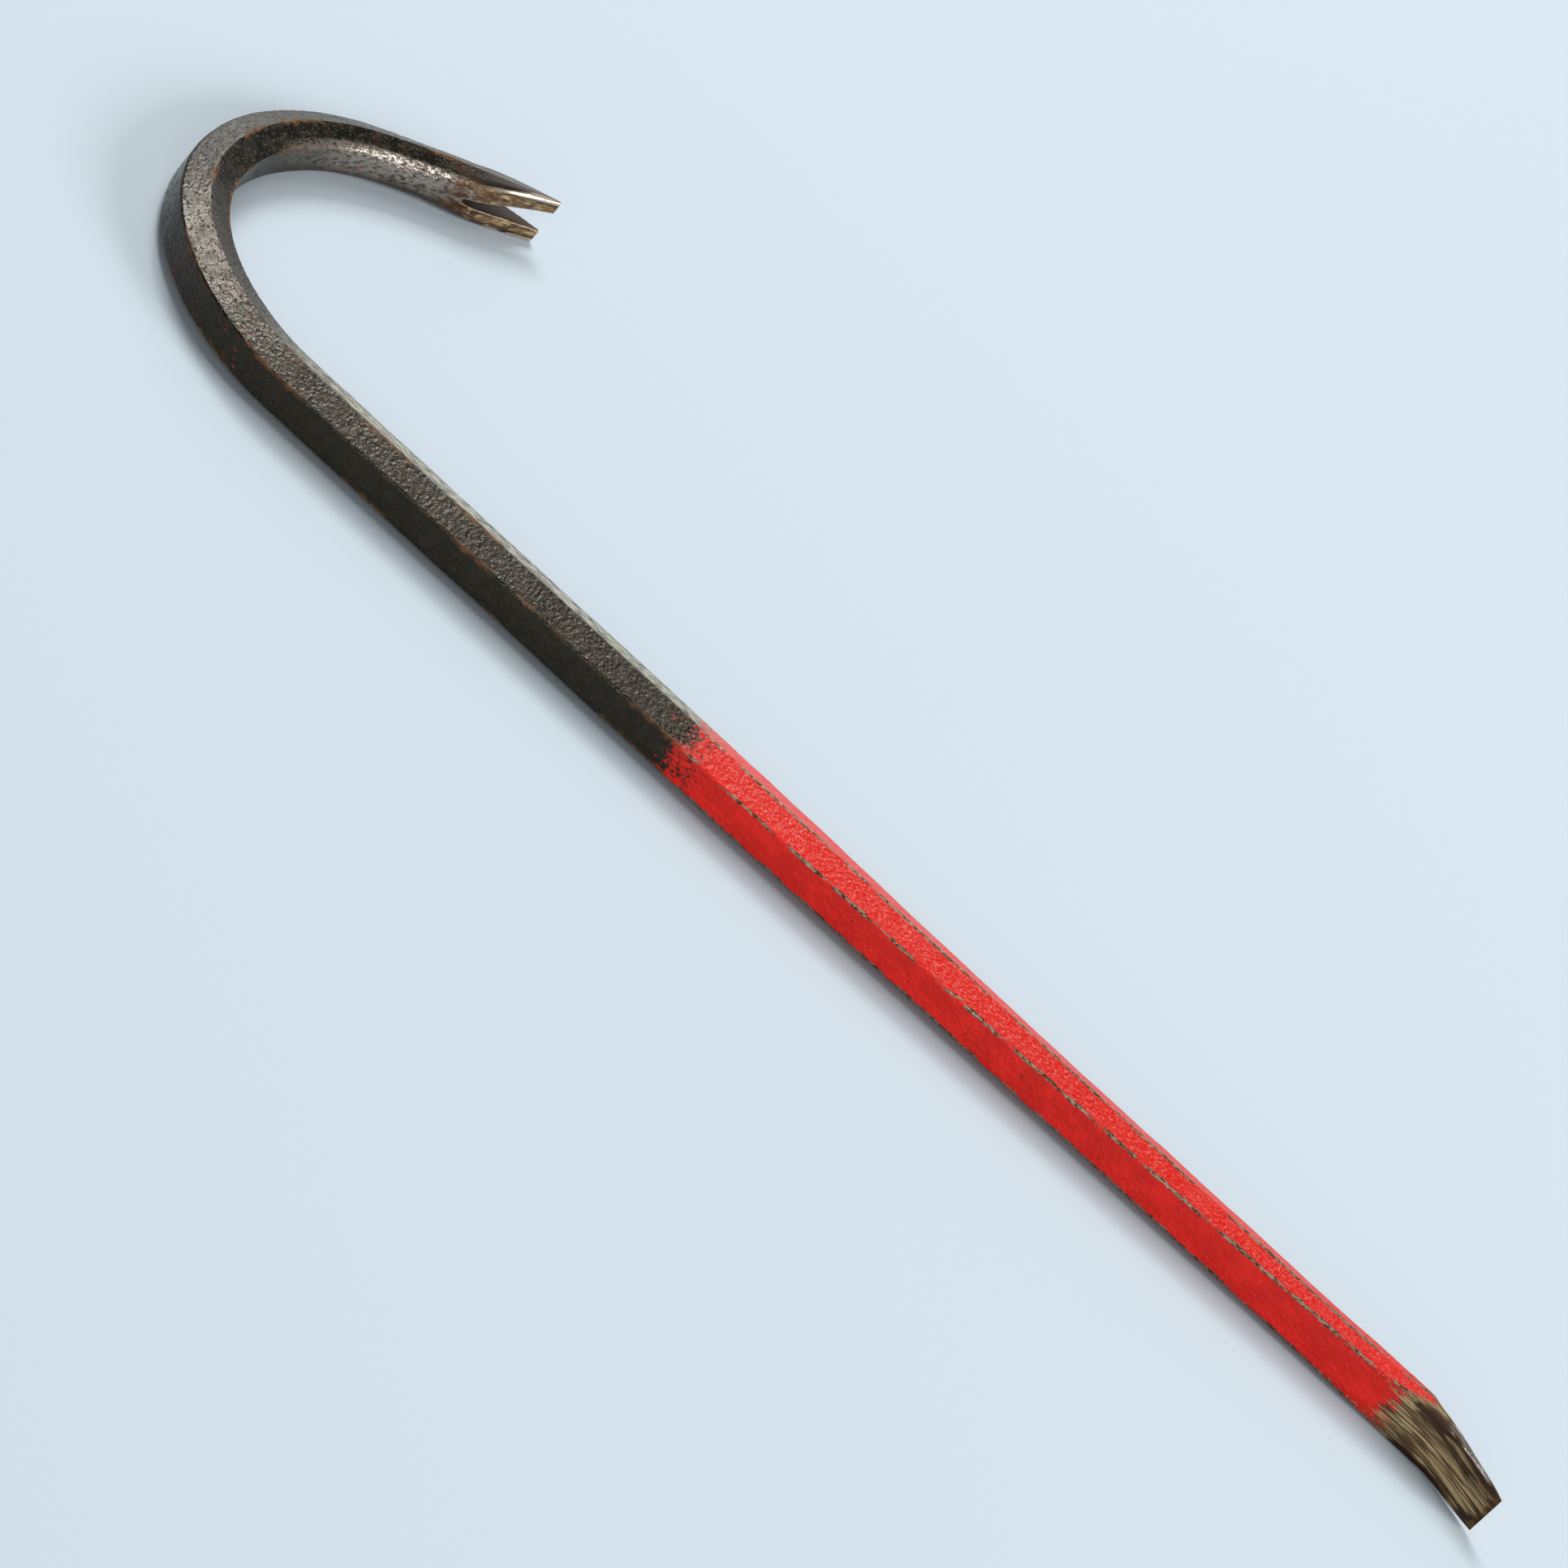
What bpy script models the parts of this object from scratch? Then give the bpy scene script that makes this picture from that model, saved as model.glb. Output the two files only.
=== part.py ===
"""Gooseneck pry bar: one drop-forged steel bar, modelled as the zones that a forge shop names.

The bar lies on its side. +X runs along the shank towards the chisel, +Y is the side the hook
curls to, and +Z is across the bar. Lengths below are in millimetres and are turned into metres
when the meshes are made.
"""

from math import cos, pi, radians, sin

import bmesh
import bpy
from mathutils import Matrix, Vector

mm = 0.001

# Driving dimensions of the bar stock and its centreline
ridge_half_width = 9.5        # from the centreline to either side ridge
shoulder_half_width = 9.8     # the same at the chisel's shoulder, the bar's widest place
shank_half_height = 10.8      # from the centreline to the outer or the inner flat
shank_flat = 5.9              # half-width of the outer and inner flats
shank_length = 482.0          # from the chisel's shoulder to the start of the hook
paint_line = 313.0            # where the black upper shank meets the red lower shank
chisel_line = 12.0            # where the red paint stops, just before the shoulder
tight_radius, tight_angle = 74.0, radians(82)
easy_radius, easy_angle = 94.0, radians(52)
arm_radius, arm_length = 316.0, 73.5
blade_length = 33.8           # from the shoulder to the chisel's edge
claw_length = 54.0            # bare forged end of the hook's arm, which holds the nail slot
slot_length = 33.0
slot_mouth_half_width = 4.2
slot_root_radius = 0.8
seam = 0.15                   # half of the gap between two neighbouring zones
bend_step = radians(6)        # angle between two cross-sections round the hook

hook_length = tight_radius * tight_angle + easy_radius * easy_angle + arm_length
bar_end = shank_length + hook_length
arm_start = bar_end - arm_length
claw_start = bar_end - claw_length

# Cross-sections by station. Each is (station, outer, inner, outer flat, inner flat, ridge, offset):
# distances from the centreline to the outer and inner flats, both flats' half-widths, the ridges'
# half-width, and how far the ridges are moved towards the inner side.
shank_sections = [
    (2.5, 4.3, 4.6, 9.6, 9.5, shoulder_half_width, 3.0),
    (10.0, 4.4, 5.2, 9.2, 9.2, 9.7, 2.0),
    (21.5, 5.0, 6.4, 8.3, 8.3, 9.6, 1.4),
    (51.0, 5.5, 7.0, 7.4, 7.4, ridge_half_width, 0.5),
    (100.0, 6.9, 8.0, 6.7, 6.7, ridge_half_width, 0.3),
    (150.0, 8.1, 8.2, 6.3, 6.3, ridge_half_width, 0.0),
    (200.0, 9.2, 9.0, 6.0, 6.0, ridge_half_width, 0.0),
    (paint_line, shank_half_height, shank_half_height, shank_flat, shank_flat, ridge_half_width, 0.0),
    (shank_length, shank_half_height, shank_half_height, shank_flat, shank_flat, ridge_half_width, 0.0),
    (577.0, 8.6, 9.6, 6.0, 6.0, ridge_half_width, 0.2),
    (640.0, 7.2, 9.6, 6.1, 6.1, ridge_half_width, 0.5),
    (claw_start, 5.7, 8.2, 6.4, 6.4, ridge_half_width, 0.5),
]
claw_sections = [
    (claw_start, 5.7, 8.2, 6.4, 6.4, ridge_half_width, 0.5),
    (bar_end - 33.0, 4.6, 8.6, 7.4, 8.0, ridge_half_width, 0.5),
    (bar_end - 26.0, 4.2, 7.4, 8.2, 8.9, 9.6, 0.5),
    (bar_end - 12.0, 2.9, 3.4, 9.0, 9.5, 9.7, 0.2),
    (bar_end, 1.4, 0.1, 9.4, 9.6, 9.7, -0.7),
]
blade_sections = [
    (2.5, 4.3, 4.6, 9.6, 9.5, shoulder_half_width, 3.0),
    (-1.0, 4.3, 3.2, 9.6, 9.4, 9.7, 1.6),
    (-9.0, 4.8, 0.6, 9.4, 9.0, 9.5, -1.0),
    (-15.0, 6.3, -2.1, 9.0, 8.8, 9.2, -3.6),
    (-22.0, 8.9, -5.6, 8.7, 8.5, 8.9, -7.0),
    (-29.5, 11.6, -9.4, 8.3, 8.2, 8.5, -10.4),
    (-blade_length, 13.1, -12.2, 7.9, 7.9, 8.0, -12.6),
]


def clear_scene():
    for old in list(bpy.data.objects):
        bpy.data.objects.remove(old, do_unlink=True)


def turn_along(point, heading, radius, angle):
    """Point and heading after an arc that curls towards the inner side."""
    centre = point + radius * Vector((sin(heading), -cos(heading)))
    turned = heading - angle
    return centre - radius * Vector((sin(turned), -cos(turned))), turned


def centreline(station):
    """Point on the centreline and heading there; station 0 is the chisel's shoulder."""
    point = Vector((-min(station, shank_length), 0.0))
    heading = pi
    left = station - shank_length
    arcs = [(tight_radius, tight_angle), (easy_radius, easy_angle), (arm_radius, arm_length / arm_radius)]
    for radius, angle in arcs:
        if left <= 0:
            break
        part = min(angle, left / radius)
        point, heading = turn_along(point, heading, radius, part)
        left -= part * radius
    return point, heading


def section_at(table, station):
    """Cross-section between two rows of a table, by straight interpolation."""
    rows = sorted(table)
    station = min(max(station, rows[0][0]), rows[-1][0])
    for low, high in zip(rows, rows[1:]):
        if station <= high[0]:
            share = (station - low[0]) / (high[0] - low[0])
            return [a + share * (b - a) for a, b in zip(low[1:], high[1:])]
    return list(rows[-1][1:])


def ring(table, station):
    """Six corners of the bar at a station, in world millimetres."""
    outer, inner, outer_flat, inner_flat, ridge, ridge_offset = section_at(table, station)
    point, heading = centreline(station)
    inward = Vector((sin(heading), -cos(heading)))
    corners = [(-outer, outer_flat), (ridge_offset, ridge), (inner, inner_flat),
               (inner, -inner_flat), (ridge_offset, -ridge), (-outer, -outer_flat)]
    flat = [(point + depth * inward, across) for depth, across in corners]
    return [Vector((place.x, place.y, across + shoulder_half_width)) for place, across in flat]


def material(name, colour, roughness, metallic):
    made = bpy.data.materials.new(name)
    made.use_nodes = True
    shader = made.node_tree.nodes["Principled BSDF"]
    shader.inputs["Base Color"].default_value = (*colour, 1.0)
    shader.inputs["Roughness"].default_value = roughness
    shader.inputs["Metallic"].default_value = metallic
    return made


def loft(name, rings, look, collection):
    """Closed solid through a row of six-cornered rings, with flat ends."""
    shape = bmesh.new()
    loops = [[shape.verts.new(corner * mm) for corner in corners] for corners in rings]
    for one, two in zip(loops, loops[1:]):
        for k in range(6):
            shape.faces.new((one[k], one[k - 1], two[k - 1], two[k]))
    shape.faces.new(loops[0])
    shape.faces.new(list(reversed(loops[-1])))
    bmesh.ops.recalc_face_normals(shape, faces=shape.faces)
    mesh = bpy.data.meshes.new(name)
    shape.to_mesh(mesh)
    shape.free()
    mesh.materials.append(look)
    made = bpy.data.objects.new(name, mesh)
    collection.objects.link(made)
    return made


def stations_between(start, end, marks):
    """Start, end and the marked stations that lie between them."""
    return [start] + sorted(mark for mark in marks if start + 1 < mark < end - 1) + [end]


def bend_marks():
    """Stations of the cross-sections round the two arcs of the hook."""
    marks = []
    start = shank_length
    for radius, angle in ((tight_radius, tight_angle), (easy_radius, easy_angle)):
        count = round(angle / bend_step)
        marks += [start + radius * angle * k / count for k in range(count + 1)]
        start += radius * angle
    return marks


def nail_slot_cutter(collection):
    """Tapered slot with a round root, open at the tips of the claw."""
    spread = slot_mouth_half_width / slot_length
    over = 10.0
    root = [(-slot_length + slot_root_radius * (1 - cos(turn)), slot_root_radius * sin(turn))
            for turn in (radians(-80), radians(-40), 0.0, radians(40), radians(80))]
    mouth = slot_mouth_half_width + spread * over
    outline = root + [(over, mouth), (over, -mouth)]
    curve = bpy.data.curves.new("nail_slot_outline", "CURVE")
    curve.dimensions = "2D"
    curve.fill_mode = "BOTH"
    curve.extrude = 20 * mm
    spline = curve.splines.new("POLY")
    spline.points.add(len(outline) - 1)
    for spot, (along, across) in zip(spline.points, outline):
        spot.co = (along * mm, across * mm, 0.0, 1.0)
    spline.use_cyclic_u = True
    guide = bpy.data.objects.new("nail_slot_outline", curve)
    collection.objects.link(guide)
    bpy.context.view_layer.update()
    seen = guide.evaluated_get(bpy.context.evaluated_depsgraph_get())
    mesh = bpy.data.meshes.new_from_object(seen)
    bpy.data.objects.remove(guide, do_unlink=True)
    shape = bmesh.new()
    shape.from_mesh(mesh)
    bmesh.ops.remove_doubles(shape, verts=shape.verts, dist=0.00001)
    bmesh.ops.recalc_face_normals(shape, faces=shape.faces)
    shape.to_mesh(mesh)
    shape.free()
    cutter = bpy.data.objects.new("nail_slot_cutter", mesh)
    collection.objects.link(cutter)
    point, heading = centreline(bar_end)
    along = Vector((cos(heading), sin(heading), 0.0))
    across = Vector((0.0, 0.0, 1.0))
    place = Matrix((along, across, along.cross(across))).transposed().to_4x4()
    place.translation = Vector((point.x, point.y, shoulder_half_width)) * mm
    mesh.transform(place)
    cutter.hide_render = True
    cutter.display_type = "WIRE"
    return cutter


def centre_on_origin(pieces):
    """Move every mesh so that the middle of the bar's box stands on the origin."""
    spots = [vert.co for piece in pieces for vert in piece.data.vertices]
    low = Vector([min(spot[k] for spot in spots) for k in range(3)])
    high = Vector([max(spot[k] for spot in spots) for k in range(3)])
    shift = Vector((-(low.x + high.x) / 2, -(low.y + high.y) / 2, -low.z))
    return Matrix.Translation(shift)


def main():
    clear_scene()
    bar = bpy.data.collections.new("pry_bar")
    tools = bpy.data.collections.new("cutters")
    bpy.context.scene.collection.children.link(bar)
    bpy.context.scene.collection.children.link(tools)

    scale_black = material("forge_black", (0.045, 0.045, 0.04), 0.42, 0.6)
    shank_black = material("shank_black", (0.05, 0.05, 0.045), 0.4, 0.6)
    enamel_red = material("enamel_red", (0.62, 0.03, 0.02), 0.38, 0.0)
    ground_claw = material("ground_claw", (0.22, 0.17, 0.12), 0.35, 0.9)
    ground_blade = material("ground_blade", (0.2, 0.17, 0.11), 0.4, 0.9)

    claw_marks = [row[0] for row in claw_sections]
    claw_rings = [ring(claw_sections, s) for s in stations_between(claw_start + seam, bar_end, claw_marks)]
    claw = loft("nail_claw", claw_rings, ground_claw, bar)
    cutter = nail_slot_cutter(tools)
    slot = claw.modifiers.new("nail_slot", "BOOLEAN")
    slot.operation = "DIFFERENCE"
    slot.solver = "EXACT"
    slot.object = cutter

    neck_stations = stations_between(shank_length + seam, claw_start - seam, bend_marks())
    neck = loft("gooseneck", [ring(shank_sections, s) for s in neck_stations], scale_black, bar)

    upper_ends = (paint_line + seam, shank_length - seam)
    upper = loft("upper_shank", [ring(shank_sections, s) for s in upper_ends], shank_black, bar)

    shank_marks = [row[0] for row in shank_sections]
    lower_stations = stations_between(chisel_line + seam, paint_line - seam, shank_marks)
    lower = loft("lower_shank", [ring(shank_sections, s) for s in lower_stations], enamel_red, bar)

    blade_stations = [row[0] for row in reversed(blade_sections)]
    blade_rings = [ring(blade_sections, s) for s in blade_stations]
    blade_rings.append(ring(shank_sections, chisel_line - seam))
    blade = loft("chisel_end", blade_rings, ground_blade, bar)

    shift = centre_on_origin([claw, neck, upper, lower, blade])
    for piece in (claw, neck, upper, lower, blade, cutter):
        piece.data.transform(shift)


main()
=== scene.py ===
import math
import bmesh
import bpy
from mathutils import Matrix, Vector, noise


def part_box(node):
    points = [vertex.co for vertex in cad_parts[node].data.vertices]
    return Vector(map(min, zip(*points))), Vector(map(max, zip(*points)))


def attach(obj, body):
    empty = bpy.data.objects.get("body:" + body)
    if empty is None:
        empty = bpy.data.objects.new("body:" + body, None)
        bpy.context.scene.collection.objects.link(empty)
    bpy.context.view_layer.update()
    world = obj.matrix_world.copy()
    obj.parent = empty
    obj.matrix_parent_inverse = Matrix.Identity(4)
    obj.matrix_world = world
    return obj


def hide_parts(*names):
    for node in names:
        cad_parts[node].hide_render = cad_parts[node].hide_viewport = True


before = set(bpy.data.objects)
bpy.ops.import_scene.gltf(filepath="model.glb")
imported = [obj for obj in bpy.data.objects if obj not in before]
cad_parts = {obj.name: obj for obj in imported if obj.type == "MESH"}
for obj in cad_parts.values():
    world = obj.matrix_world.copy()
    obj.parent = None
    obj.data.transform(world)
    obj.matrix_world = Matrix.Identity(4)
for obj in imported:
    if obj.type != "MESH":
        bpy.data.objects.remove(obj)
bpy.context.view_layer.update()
mm = 0.001


# The bar, in millimetres. Station 0 is the chisel's shoulder and stations grow towards the hook.
bar = {
    "shankLength": 482.0,
    "bends": [(74.0, math.radians(82)), (94.0, math.radians(52)), (316.0, 73.5 / 316.0)],
    "bladeLength": 33.8,
    "clawLength": 54.0,
    "shoulderWidth": 9.8,    # half-width at the shoulder, which the bar's underside rests on
    "paintLine": 313.0,      # black lacquer above, red enamel below
    "chiselLine": 12.0,      # end of the red enamel
    "cornerRadius": 1.1,
    "cornerShare": 0.47,     # most of a side that one rounded corner may take
    "innerRadius": [(625.0, 1.1), (665.0, 5.0), (690.0, 8.5), (716.0, 8.5), (740.0, 0.8)],    # by station
    "cornerSteps": 4,        # round each corner
    "faceSteps": 20,         # across each face
    "step": 0.55,            # along the bar
    "bladeStep": 0.35,       # finer, along the blade
    "mergeGap": 0.002,       # points closer than this are one
    "thickness": 21.6,       # the finishes read the depth as if it were this everywhere, so that
                             # streaks follow the faces
}
barEnd = bar["shankLength"] + sum(radius * angle for radius, angle in bar["bends"])
clawStart = barEnd - bar["clawLength"]

# Cross-sections along the bar: station, then the distances from the centreline to the outer and inner
# flats, both flats' half-widths, the side ridges' half-width, and the ridges' shift to the inner side.
sections = [
    (-bar["bladeLength"], 13.1, -12.2, 7.9, 7.9, 8.0, -12.6),
    (-29.5, 11.6, -9.4, 8.3, 8.2, 8.5, -10.4),
    (-22.0, 8.9, -5.6, 8.7, 8.5, 8.9, -7.0),
    (-15.0, 6.3, -2.1, 9.0, 8.8, 9.2, -3.6),
    (-9.0, 4.8, 0.6, 9.4, 9.0, 9.5, -1.0),
    (-1.0, 4.3, 3.2, 9.6, 9.4, 9.7, 1.6),
    (2.5, 4.3, 4.6, 9.6, 9.5, 9.8, 3.0),
    (10.0, 4.4, 5.2, 9.2, 9.2, 9.7, 2.0),
    (21.5, 5.0, 6.4, 8.3, 8.3, 9.6, 1.4),
    (51.0, 5.5, 7.0, 7.4, 7.4, 9.5, 0.5),
    (100.0, 6.9, 8.0, 6.7, 6.7, 9.5, 0.3),
    (150.0, 8.1, 8.2, 6.3, 6.3, 9.5, 0.0),
    (200.0, 9.2, 9.0, 6.0, 6.0, 9.5, 0.0),
    (313.0, 10.8, 10.8, 5.9, 5.9, 9.5, 0.0),
    (482.0, 10.8, 10.8, 5.9, 5.9, 9.5, 0.0),
    (577.0, 8.6, 9.6, 6.0, 6.0, 9.5, 0.2),
    (640.0, 7.2, 9.6, 6.1, 6.1, 9.5, 0.5),
    (clawStart, 5.7, 8.2, 6.4, 6.4, 9.5, 0.5),
    (barEnd - 33.0, 4.6, 8.6, 7.4, 8.0, 9.5, 0.5),
    (barEnd - 26.0, 4.2, 7.4, 8.2, 8.9, 9.6, 0.5),
    (barEnd - 12.0, 2.9, 3.4, 9.0, 9.5, 9.7, 0.2),
    (barEnd, 1.4, 0.1, 9.4, 9.6, 9.7, -0.7),
]


def slopes(rows, column):
    # slopes of a curve through the rows that never overshoots them
    gaps = [b[0] - a[0] for a, b in zip(rows, rows[1:])]
    rises = [(b[column] - a[column]) / gap for a, b, gap in zip(rows, rows[1:], gaps)]
    found = [rises[0]]
    for before, after in zip(rises, rises[1:]):
        found.append(0.0 if before * after <= 0 else 2 * before * after / (before + after))
    return found + [rises[-1]]


sectionSlopes = [slopes(sections, column) for column in range(1, 7)]


def sectionAt(station):
    station = min(max(station, sections[0][0]), sections[-1][0])
    k = 0
    while station > sections[k + 1][0]:
        k += 1
    low, high = sections[k], sections[k + 1]
    gap = high[0] - low[0]
    t = (station - low[0]) / gap
    found = []
    for column in range(6):
        a, b = low[column + 1], high[column + 1]
        ma, mb = sectionSlopes[column][k] * gap, sectionSlopes[column][k + 1] * gap
        found.append((2 * t**3 - 3 * t**2 + 1) * a + (t**3 - 2 * t**2 + t) * ma
                     + (3 * t**2 - 2 * t**3) * b + (t**3 - t**2) * mb)
    return found


def centreline(station):
    # point and heading on the bar's centreline
    point = Vector((-min(station, bar["shankLength"]), 0.0))
    heading = math.pi
    left = station - bar["shankLength"]
    for radius, angle in bar["bends"]:
        if left <= 0:
            break
        turn = min(angle, left / radius)
        middle = point + radius * Vector((math.sin(heading), -math.cos(heading)))
        heading -= turn
        point = middle - radius * Vector((math.sin(heading), -math.cos(heading)))
        left -= turn * radius
    return point, heading


# where station 0 lies in the frame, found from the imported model's own chisel end
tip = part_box("chisel_end")
bladeOuter = sections[0][1]
origin = Vector((tip[1].x / mm - bar["bladeLength"], tip[0].y / mm + bladeOuter, bar["shoulderWidth"]))


def between(value, start, full):
    # 0 before the start, 1 past the full value, and eased between them
    t = min(max((value - start) / (full - start), 0.0), 1.0)
    return t * t * (3 - 2 * t)


def cornersAt(station):
    # the six corners as (depth towards the inner side, across), from the outer flat round
    outer, inner, outerFlat, innerFlat, ridge, ridgeShift = sectionAt(station)
    return [Vector(c) for c in ((-outer, outerFlat), (ridgeShift, ridge), (inner, innerFlat),
                                (inner, -innerFlat), (ridgeShift, -ridge), (-outer, -outerFlat))]


def innerRadius(station):
    # the two corners beside the inner flat are rounder on the hook's arm
    rows = bar["innerRadius"]
    for (low, a), (high, b) in zip(rows, rows[1:]):
        if low < station < high:
            return a + (b - a) * between(station, low, high)
    return rows[0][1] if station <= rows[0][0] else rows[-1][1]


def outline(station):
    # the outline with its corners rounded, as points in order round the bar
    corners = cornersAt(station)
    share, steps = bar["cornerShare"], bar["cornerSteps"]
    arcs = []
    for k in range(6):
        before, corner, after = corners[k - 1], corners[k], corners[(k + 1) % 6]
        toBefore, toAfter = before - corner, after - corner
        radius = innerRadius(station) if k in (2, 3) else bar["cornerRadius"]
        reach = radius / math.tan(toBefore.angle(toAfter) / 2)
        start = corner + toBefore.normalized() * min(reach, share * toBefore.length)
        end = corner + toAfter.normalized() * min(reach, share * toAfter.length)
        arcs.append([(1 - t) ** 2 * start + 2 * t * (1 - t) * corner + t**2 * end
                     for t in (j / steps for j in range(steps + 1))])
    points = []
    for k in range(6):
        points += arcs[k]
        points += [arcs[k][-1].lerp(arcs[(k + 1) % 6][0], j / bar["faceSteps"])
                   for j in range(1, bar["faceSteps"])]
    return points


def placed(station, depth, across):
    # a point given by station, depth and across, in metres in the model's frame
    point, heading = centreline(station)
    spot = point + depth * Vector((math.sin(heading), -math.cos(heading)))
    return Vector((spot.x + origin.x, spot.y + origin.y, across + origin.z)) * mm


# Surface relief in millimetres. It is worked out along the bar, so it runs on from one piece to the next.
relief = {
    "swell": (13.0, 0.16),    # feature size and height of the hammer's slow waves
    "grain": (2.4, 0.05),     # forge scale under the coats
    "pit": (1.5, 0.21),       # rust pits
    "pitCut": 0.12,           # higher leaves fewer pits
    "pitShift": Vector((31, 7, 3)),    # so that pits and grain don't fall together
    "redCalm": 0.5,           # the enamel fills part of the relief
    "redFade": 6.0,           # length of a change in the relief, mm
    "insideCalm": 0.75,       # use rubbed it down on the inner side of the hook
    "insideFade": (540.0, 600.0),
    "insideDepth": 3.0,
    "bareCalm": 0.22,         # grinding left this much of it
    "bareSwell": 0.3,
    "bladeFade": 8.0,
    "clawFade": (barEnd - 42, barEnd - 26),
}


def reliefAt(spot):
    # spot is (station, depth, across), its depth as the finishes read it
    station, depth, _ = spot
    size, height = relief["swell"]
    deep = height * noise.noise(spot / size)
    half = relief["redFade"] / 2
    red = between(station, bar["paintLine"] + half, bar["paintLine"] - half)
    bare = max(between(station, relief["bladeFade"], 0.0), between(station, *relief["clawFade"]))
    inside = between(station, *relief["insideFade"]) * between(depth, 0.0, relief["insideDepth"])
    calm = (1 - (1 - relief["redCalm"]) * red) * (1 - bare) + relief["bareCalm"] * bare
    calm *= 1 - relief["insideCalm"] * inside
    size, height = relief["grain"]
    fine = height * noise.noise(spot / size)
    size, height = relief["pit"]
    fine -= height * max(0.0, noise.noise(spot / size + relief["pitShift"]) - relief["pitCut"])
    return deep * (1 - (1 - relief["bareSwell"]) * bare) + calm * fine


def asObject(name, shape):
    # an object in the scene from a finished bmesh
    mesh = bpy.data.meshes.new(name)
    shape.to_mesh(mesh)
    shape.free()
    item = bpy.data.objects.new(name, mesh)
    bpy.context.scene.collection.objects.link(item)
    return item


def finished(name, shape, spotOf):
    # relief, end caps, the attributes that the finishes read, and the object itself
    bmesh.ops.recalc_face_normals(shape, faces=shape.faces)
    shape.normal_update()
    rims = [edge for edge in shape.edges if edge.is_boundary]
    rimVerts = {vert for edge in rims for vert in edge.verts}
    alongLayer = shape.verts.layers.float_vector.new("along")
    cornerLayer = shape.verts.layers.float.new("cornerGap")
    gaps = {}
    for vert in shape.verts:
        station, depth, across = spotOf(vert)
        key = round(station, 3)
        if key not in gaps:
            gaps[key] = cornersAt(station)
        outer, inner = gaps[key][0].x, gaps[key][2].x
        level = bar["thickness"] * ((depth - outer) / (inner - outer) - 0.5)
        vert[alongLayer] = (station, level, across)
        vert[cornerLayer] = min((corner - Vector((depth, across))).length for corner in gaps[key])
    moves = [vert.normal * reliefAt(Vector(vert[alongLayer])) * mm for vert in shape.verts]
    for vert, move in zip(shape.verts, moves):
        if vert in rimVerts:    # a rim stays in its flat plane
            heading = centreline(vert[alongLayer][0])[1]
            ahead = Vector((math.cos(heading), math.sin(heading), 0))
            move = move - move.dot(ahead) * ahead
        vert.co += move
    if rims:
        bmesh.ops.holes_fill(shape, edges=rims, sides=0)
        caps = [face for face in shape.faces if len(face.verts) > 4]
        for edge in rims:
            edge.smooth = False
        bmesh.ops.triangulate(shape, faces=caps)
    bmesh.ops.recalc_face_normals(shape, faces=shape.faces)
    for face in shape.faces:
        face.smooth = True
    piece = asObject(name, shape)
    print(name, "with", len(piece.data.polygons), "faces")
    return piece


def rolledTube(start, end, step):
    # a flat grid rolled into a tube round the centreline and joined along its long edges
    around = len(outline(start))
    count = max(2, round((end - start) / step))
    shape = bmesh.new()
    spotLayer = shape.verts.layers.float_vector.new("spot")
    bmesh.ops.create_grid(shape, x_segments=count, y_segments=around, size=1.0)
    rings = [outline(start + (end - start) * k / count) for k in range(count + 1)]
    for vert in shape.verts:
        row = round((vert.co.x + 1) / 2 * count)
        depth, across = rings[row][round((vert.co.y + 1) / 2 * around) % around]
        station = start + (end - start) * row / count
        vert.co = placed(station, depth, across)
        vert[spotLayer] = (station, depth, across)
    bmesh.ops.remove_doubles(shape, verts=shape.verts, dist=bar["mergeGap"] * mm)
    return shape, spotLayer


def barLength(name, start, end, step):
    shape, spotLayer = rolledTube(start, end, step)
    return finished(name, shape, lambda vert: vert[spotLayer])


# Claw: the last length of the bar, drawn out to two tips with a nail slot between them
claw = {
    "slotLength": 33.0,
    "slotMouth": 4.2,        # half-width between the tips
    "slotRoot": 0.8,         # radius of the slot's closed end
    "slotReach": 14.0,       # the cutter's reach to the outer and the inner side
    "slotLean": 5.0,         # how much further back the slot starts at the inner reach
    "slotPast": 3.0,         # the cutter's reach past the tips
    "slotSteps": 8,          # round the closed end
    "step": 0.5,             # along the bar
    "voxel": 0.30,           # size of a face after the slot is cut
    "smoothing": 4,          # rounds of smoothing over the voxels' steps
    "smoothFrom": 3.0,       # from the claw's start
    "overlap": 2.0,          # extra length that is cut off again after the voxels
}


def clawSpot(co):
    # station, depth and across of a point on the claw, which lies on the last bend
    radius, angle = bar["bends"][-1]
    bendStart = barEnd - radius * angle
    point, heading = centreline(bendStart)
    middle = point + radius * Vector((math.sin(heading), -math.cos(heading)))
    arm = Vector((co.x, co.y)) / mm - origin.xy - middle
    station = bendStart + arm.normalized().angle_signed((point - middle).normalized(), 0.0) * radius
    if station < bendStart:
        station = 2 * bendStart - station
    return station, radius - arm.length, co.z / mm - origin.z


def slotHalf(run):
    # half-width of the slot at a distance from its closed end
    opening = (claw["slotMouth"] - claw["slotRoot"]) / claw["slotLength"]
    return claw["slotRoot"] + (run - claw["slotRoot"]) * opening


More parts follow.
